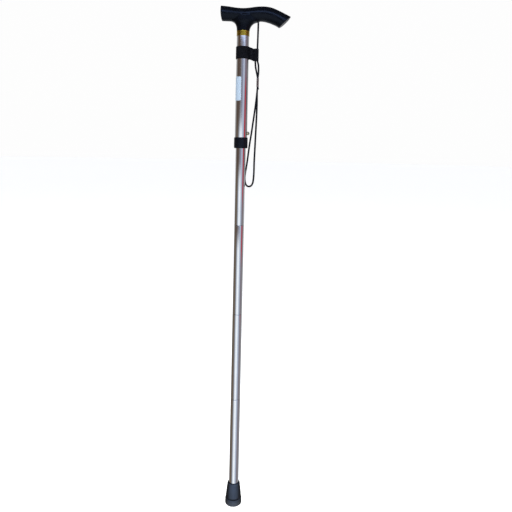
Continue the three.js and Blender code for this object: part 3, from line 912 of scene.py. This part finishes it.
def build_tip():
    """The rubber tip: a tapered sleeve, a waist groove, two faint grooves on the flange, a ringed sole."""
    shape = [
        (0, 0),
        (4.2, 0, 0.3),
        (4.8, 1.2, 0.4),
        (6.6, 1.2, 0.4),
        (7.2, 0, 0.3),
        (9.2, 0, 0.3),
        (9.8, 1.0, 0.3),
        (11.0, 1.0, 0.3),
        (11.6, 0, 0.3),
        (13.4, 0, 0.5),
        (14.5, 1.2, 0.7),
        *faint_groove(14.6, 3.0),
        *faint_groove(14.6, 6.6),
        (14.6, 10.0, 0.6),
        (12.6, 10.9, 0.4),
        (12.6, 12.3, 0.4),
        (13.8, 12.9, 0.5),
        (12.6, 24.6, 8),
        (11.1, 35.8, 1.0),
        (10.8, 37.4, 0.6),
        (9.2, 37.4, 0.4),
        (9.2, 5.0),
        (0, 5.0),
    ]
    tip = lathe("tip", shape)
    finished(tip, RUBBER, "section_4", "tip_rubber", "rubber_tip")


# ---- strap ----


def band_line():
    """The band's middle line seen from above: round the tube, along the tab and round the eyelet."""
    ring = box_mm("outer_tube")[1][0] + 0.2 + BAND_THICKNESS / 2
    gap = BAND_THICKNESS / 2 + 0.03
    leave = math.asin((gap + 1.6) / ring)
    points = []
    for angle in np.linspace(leave + 0.12, TWO_PI - leave - 0.12, 110):
        points.append((ring * math.cos(angle), ring * math.sin(angle), 0))
    eyelet_width = EYELET["half_width"] + BAND_THICKNESS / 2
    first = EYELET["x"] - EYELET["half_length"] - 2.4
    tab = [(ring + 1.0, -gap - 0.35, 0), (ring + 2.2, -gap, 0)]
    tab += [(x, -gap, 0) for x in np.linspace(ring + 3.2, first, 8)]
    centre = EYELET["x"] + EYELET["half_length"] - EYELET["half_width"]
    side = [
        (first + 1.4, -gap - 0.8, 0),
        (first + 2.8, -eyelet_width + 0.25, 0),
        (first + 4.2, -eyelet_width, 0),
        (centre, -eyelet_width, 0),
    ]
    side += [
        (centre + eyelet_width * math.sin(a), -eyelet_width * math.cos(a), 0)
        for a in np.radians([25, 50, 75])
    ]
    lower = tab + side
    upper = [(x, -y, 0) for x, y, _ in reversed(lower)]
    nose = [(centre + eyelet_width, 0, 0)]
    return np.array(points + lower + nose + upper)


def band_height(x, across, low, height):
    """The height of a point of the band: the tab droops, and its edges are a little wavy."""
    ring = box_mm("outer_tube")[1][0] + 1.2
    fold = EYELET["x"] - EYELET["half_length"] - BAND_THICKNESS
    share = min(max((x - ring) / (fold - ring), 0), 1)
    wave = 0.18 * math.sin(x * 0.9) * share
    return low + across * height - BAND_DROOP * share + wave


def build_band():
    low, high = box_mm("strap_band")
    height = high[2] - low[2] - BAND_DROOP
    line = evenly_spaced(band_line(), 0.45, closed=True)
    frames = np.roll(line, -1, axis=0) - np.roll(line, 1, axis=0)
    frames /= np.linalg.norm(frames, axis=1)[:, None]
    half = BAND_THICKNESS / 2
    rows = 40
    section = [(side, v) for side, order in ((1, 1), (-1, -1)) for v in np.linspace(0, 1, rows)[::order]]
    vertices, places = [], []
    for i, (point, forward) in enumerate(zip(line, frames)):
        normal = np.array([forward[1], -forward[0], 0])
        for side, v in section:
            from_edge = min(v, 1 - v) * height
            thin = math.sqrt(max(0, 1 - (1 - min(from_edge / 0.5, 1)) ** 2)) * 0.7 + 0.3
            rib = 0.05 * math.cos(TWO_PI * v * height / 1.5)
            out = point + normal * side * (half - 0.05 + rib) * thin
            vertices.append((out[0], out[1], band_height(point[0], v, low[2] + BAND_DROOP, height)))
            places.append((i * 0.45, v * height, 0))
    band = new_object("band", vertices, ring_faces(len(line), len(section), closed=True), 50)
    mark_places(band, "band_place", places)
    finished(band, WEBBING, "handle_section", "elastic_webbing", "strap_band")
    build_stitching(low[2] + BAND_DROOP, height)


def build_stitching(low, height):
    """Two rows of stitches beside the shaft and one beside the fold, on both faces of the tab."""
    ring = box_mm("outer_tube")[1][0] + 1.2
    face = BAND_THICKNESS + 0.03
    stitches = []
    pitch, length = 2.0, 1.5
    for x in (ring + 2.9, ring + 4.4, 20.2):
        for side in (-1, 1):
            for k in range(int((height - 2) / pitch)):
                z = band_height(x, (1.2 + k * pitch) / height, low, height)
                dips = ((-0.15, 0), (0.12, 0.25), (0.12, 0.75), (-0.15, 1))
                line = smooth_line([(x, side * (face + out), z + length * t) for out, t in dips], 3)
                stitches.append(braided_cord("stitch", line, 0.26, 0.25, 8, 2, 1.0, 0.02))
    stitching = joined("band_stitching", stitches)
    finished(stitching, THREAD, "handle_section", "elastic_webbing")


def build_upper_cord():
    """The cord from under the handle down into the tab's tunnel."""
    low, high = box_mm("handle_cord")
    points = [(27.0, 0, high[2] + 1), (26.9, 0, 850), (26.5, 0, 825), (26.1, 0, low[2] + 2)]
    cord = braided_cord("upper_cord", smooth_line(points, 12), CORD_RADIUS)
    finished(cord, STRAP_CORD, "handle_section", "strap_cord", "handle_cord")


def build_wrist_loop():
    """The wrist loop under the crimp, its cut end, and the eye that runs up into the tab."""
    crimp_low, crimp_high = box_mm("cord_crimp")
    middle = (crimp_low[0] + crimp_high[0]) / 2
    loop_points = [
        (middle, -STRAND_OFFSET, crimp_low[2] + 2),
        (middle, -STRAND_OFFSET, crimp_low[2]),
        (27.3, -1.7, 738),
        (25.6, -1.6, 720),
        (23.5, -1.3, 702),
        (21.2, -0.8, 684),
        (18.9, -0.2, 666),
        (16.3, 0.6, 648),
        (14.1, 2.0, 630),
        (12.0, 4.2, 612),
        (9.9, 6.6, 598),
        (8.4, 8.2, 587),
        (8.8, 8.0, 577),
        (11.4, 6.0, 570.5),
        (15.4, 3.8, 568.3),
        (19.6, 2.2, 569.6),
        (22.6, 1.0, 574),
        (24.0, 0.4, 582),
        (24.6, 0.1, 594),
        (24.8, 0.1, 614),
        (25.6, 0.3, 639),
        (26.4, 0.7, 666),
        (27.2, 1.2, 692),
        (27.6, 1.6, 718),
        (27.4, 1.7, 738),
        (middle, STRAND_OFFSET, crimp_low[2]),
        (middle, STRAND_OFFSET, crimp_low[2] + 2),
    ]
    loop = braided_cord("loop", smooth_line(loop_points, 14), CORD_RADIUS)
    tail = [(middle + 0.3, 0, crimp_low[2] + 2), (middle + 1.2, 0, crimp_low[2] - 2.2)]
    tail += [(middle + 2.0, 0.1, crimp_low[2] - 4.6)]
    cut_end = braided_cord("cut_end", smooth_line(tail, 8), CORD_RADIUS * 0.7)
    wrist_loop = joined("wrist_loop_cord", [loop, cut_end])
    finished(wrist_loop, STRAP_CORD, "wrist_loop", "strap_cord", "wrist_cord")
    left = [
        (middle, -STRAND_OFFSET, crimp_high[2] - 2),
        (middle, -STRAND_OFFSET, crimp_high[2]),
        (25.7, -1.1, 774),
        (23.8, -0.4, 783),
        (23.2, -0.1, 790),
        (22.9, 0, 796),
        (22.9, 0, 803),
    ]
    right = [
        (middle, STRAND_OFFSET, crimp_high[2] - 2),
        (middle, STRAND_OFFSET, crimp_high[2]),
        (29.1, 1.1, 774),
        (29.0, 0.4, 783),
        (28.4, 0.1, 789),
        (26.8, 0, 794.5),
        (26.2, 0, 797.5),
    ]
    strands = [braided_cord("eye", smooth_line(points, 12), CORD_RADIUS) for points in (left, right)]
    eye_cord = finished(joined("eye_cord", strands), STRAP_CORD, None, "strap_cord")
    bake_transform(eye_cord)


def build_crimp():
    """The crimp: a flattened metal sleeve with three pressed dents on its two wide faces."""
    low, high = box_mm("cord_crimp")
    middle, wall = (low[0] + high[0]) / 2, 0.4
    half_x, half_y = (high[0] - low[0]) / 2, (high[1] - low[1]) / 2
    around, rows = 64, 60
    outline = []
    for k in range(around):
        angle = k / around * TWO_PI
        nx, ny = math.cos(angle), math.sin(angle)
        outline.append((half_x * nx, math.copysign(half_y - half_x, ny) + half_x * ny, nx, ny))
    dents = [(low[2] + high[2]) / 2 + offset for offset in (-4.2, 0, 4.2)]
    heights = np.linspace(low[2], high[2], rows)
    layers = [(0.0, 1, z) for z in heights] + [(wall, -1, z) for z in heights[::-1]]
    vertices = []
    for inset, side, z in layers:
        rim = min(z - low[2], high[2] - z)
        lip = side * 0.15 * max(0, 1 - rim / 0.4)
        for x, y, nx, ny in outline:
            near = max(math.exp(-((z - dent) ** 2)) for dent in dents) * math.exp(-((y / 1.6) ** 2))
            r = inset + 0.32 * near * abs(nx) + lip
            vertices.append((middle + x - nx * r, y - ny * r, z))
    faces = turned_over(ring_faces(len(layers), around, closed=True))
    crimp = new_object("crimp", vertices, faces, 40)
    finished(crimp, CRIMP_METAL, "wrist_loop", "crimp_metal", "cord_crimp")


# ---- the pieces the CAD already shapes ----


def finish_inner_pieces():
    carried = {
        "handle_plug": BLACK_PLASTIC,
        "handle_screw": ZINC,
        "collet_bush": NYLON,
        "clamp_ring": NYLON,
        "guide_cap": BLACK_PLASTIC,
        "cord_anchor_top": NYLON,
        "cord_anchor_bottom": NYLON,
        "tip_washer": ZINC,
    }
    for node, material in carried.items():
        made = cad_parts[node]
        made.data.materials.clear()
        made.data.materials.append(material)


# ---- studio ----

def ramp(graph, turn, stops):
    """The colour at a share of a turn, from (degrees, colour) stops between -180 and 180."""
    made = graph.node("ShaderNodeValToRGB", {0: turn})
    made.color_ramp.interpolation = "EASE"
    elements = made.color_ramp.elements
    while len(elements) < len(stops):
        elements.new(0.5)
    for element, (degrees, _) in zip(elements, stops):
        element.position = (degrees + 180) / 360
    for element, (_, colour) in zip(elements, stops):
        element.color = (*colour, 1)
    return made.outputs[0]


# what a polished tube mirrors, by the direction round it: 0 is towards the camera, 90 is +X
LOW_STUDIO = [
    (-180, (0.50, 0.52, 0.56)),
    (-165, (0.95, 0.97, 1.0)),
    (-140, (0.95, 0.97, 1.0)),
    (-126, (0.25, 0.24, 0.22)),
    (-106, (0.11, 0.085, 0.075)),
    (-80, (0.16, 0.12, 0.085)),
    (-58, (0.17, 0.15, 0.13)),
    (-44, (0.26, 0.27, 0.31)),
    (-30, (0.62, 0.68, 0.76)),
    (-18, (0.92, 0.98, 1.05)),
    (12, (1.0, 1.05, 1.1)),
    (26, (0.52, 0.60, 0.74)),
    (46, (0.40, 0.44, 0.54)),
    (60, (0.22, 0.20, 0.23)),
    (78, (0.21, 0.18, 0.20)),
    (95, (0.26, 0.26, 0.27)),
    (125, (0.34, 0.34, 0.35)),
    (150, (0.75, 0.77, 0.80)),
    (165, (0.85, 0.87, 0.9)),
    (180, (0.50, 0.52, 0.56)),
]
HIGH_STUDIO = [
    (-180, (0.30, 0.31, 0.33)),
    (-150, (0.60, 0.60, 0.62)),
    (-125, (0.32, 0.31, 0.31)),
    (-110, (0.22, 0.20, 0.18)),
    (-80, (0.085, 0.055, 0.042)),
    (-30, (0.13, 0.10, 0.088)),
    (-16, (0.25, 0.25, 0.28)),
    (10, (0.24, 0.26, 0.36)),
    (24, (0.44, 0.49, 0.62)),
    (42, (0.50, 0.54, 0.66)),
    (58, (0.20, 0.17, 0.22)),
    (90, (0.20, 0.17, 0.19)),
    (120, (0.28, 0.27, 0.27)),
    (150, (0.60, 0.60, 0.62)),
    (180, (0.30, 0.31, 0.33)),
]


def build_world():
    """A pale room. Shiny surfaces see softer and darker bands in it, as in a studio with flags."""
    world = bpy.data.worlds.new("studio")
    bpy.context.scene.world = world
    world.use_nodes = True
    world.node_tree.nodes.clear()
    graph = Graph(world.node_tree)
    maths, mix = graph.maths, graph.blend

    def step(value, low, high):
        return graph.remap(value, low, high, 0.0, 1.0, interpolation_type="SMOOTHSTEP")

    def window(value, low, high, soft):
        return maths("MULTIPLY", step(value, low - soft, low + soft), step(value, high + soft, high - soft))

    x, y, z = graph.split(graph.node("ShaderNodeTexCoord").outputs["Generated"])
    azimuth = maths("MULTIPLY", maths("ARCTAN2", x, maths("MULTIPLY", y, -1.0)), 180 / math.pi)
    elevation = maths("MULTIPLY", maths("ARCSINE", z), 180 / math.pi)
    turn = maths("DIVIDE", maths("ADD", azimuth, 180), 360)
    low_bands, high_bands = ramp(graph, turn, LOW_STUDIO), ramp(graph, turn, HIGH_STUDIO)
    bands = mix(step(elevation, -7, 1), low_bands, high_bands)
    red = maths("MULTIPLY", window(azimuth, 58, 84, 4), window(elevation, -9, 8, 3))
    bands = mix(red, bands, (0.46, 0.03, 0.05))
    bands = mix(step(elevation, 30, 42), bands, (0.06, 0.07, 0.09))
    softbox = maths("MULTIPLY", window(azimuth, -48, 58, 12), window(elevation, 22, 36, 2.5))
    bands = mix(softbox, bands, (2.5, 3.2, 5.0))
    ray = graph.node("ShaderNodeLightPath").outputs
    seen = mix(ray["Is Glossy Ray"], (0.42, 0.43, 0.45), bands)
    seen = mix(ray["Is Camera Ray"], seen, (0.985, 0.985, 0.985))
    background = graph.node("ShaderNodeBackground", {"Color": seen})
    graph.node("ShaderNodeOutputWorld", {"Surface": background.outputs[0]})


def softbox_light(name, place, aim, size, power):
    """An area lamp that lights the object but isn't mirrored in it."""
    data = bpy.data.lights.new(name, "AREA")
    data.size = size
    data.energy = power
    lamp = bpy.data.objects.new(name, data)
    bpy.context.scene.collection.objects.link(lamp)
    lamp.location = place
    offset = Vector(place) - Vector(aim)
    lamp.rotation_euler = offset.to_track_quat("Z", "Y").to_euler()
    lamp.visible_glossy = False
    lamp.visible_camera = False


def build_floor():
    """A wide flat floor that is pale all over, however far it is from the lamps."""
    rings = (40000, 12000, 4000, 1500, 600, 200, 50, 0)
    floor = lathe("floor", [(radius, 0) for radius in rings], segments=96)
    finish = Finish("pale_floor", (0.93, 0.93, 0.93), 0.8, Emission_Strength=0.60)
    finish.set("Base Color", finish.blend(finish.noise(400), (0.93, 0.93, 0.93), (0.90, 0.90, 0.905)))
    finish.set("Emission Color", (1.0, 1.0, 1.0, 1.0))
    floor.data.materials.append(finish.material)
    floor.visible_glossy = False


def build_camera():
    """The photograph's viewpoint: in front, at 0.7 of the cane's height, with a shifted lens.

    The shift belongs to this viewpoint alone, so it is zero once the camera has been moved elsewhere.
    """
    data = bpy.data.cameras.new("camera")
    data.sensor_width = 36.0
    data.lens = 38.28
    data.clip_start, data.clip_end = 0.01, 50
    camera = bpy.data.objects.new("camera", data)
    bpy.context.scene.collection.objects.link(camera)
    place = (0.0277, -0.98, 0.63)
    camera.location = place
    camera.rotation_euler = (math.pi / 2, math.radians(-1.215), 0)
    driver = data.driver_add("shift_y").driver
    driver.type = "SCRIPTED"
    for name, channel in (("x", "LOC_X"), ("y", "LOC_Y")):
        variable = driver.variables.new()
        variable.name = name
        variable.type = "TRANSFORMS"
        variable.targets[0].id = camera
        variable.targets[0].transform_type = channel
    driver.expression = f"-0.20215 if abs(x - {place[0]}) + abs(y - {place[1]}) < 0.0001 else 0.0"
    bpy.context.scene.camera = camera


build_handle()
build_collar()
build_tubes()
build_label()
build_nut()
build_button()
build_plugs()
build_shock_cord()
build_spring()
build_tip()
build_band()
build_upper_cord()
build_wrist_loop()
build_crimp()
finish_inner_pieces()
build_floor()
build_world()
softbox_light("front_light", (-0.15, -1.9, 1.1), aim=(0, 0, 0.45), size=0.9, power=34)
softbox_light("top_light", (0.2, -0.2, 2.4), aim=(0, 0, 0.3), size=1.6, power=60)
build_camera()
bpy.context.scene.view_settings.view_transform = "Standard"
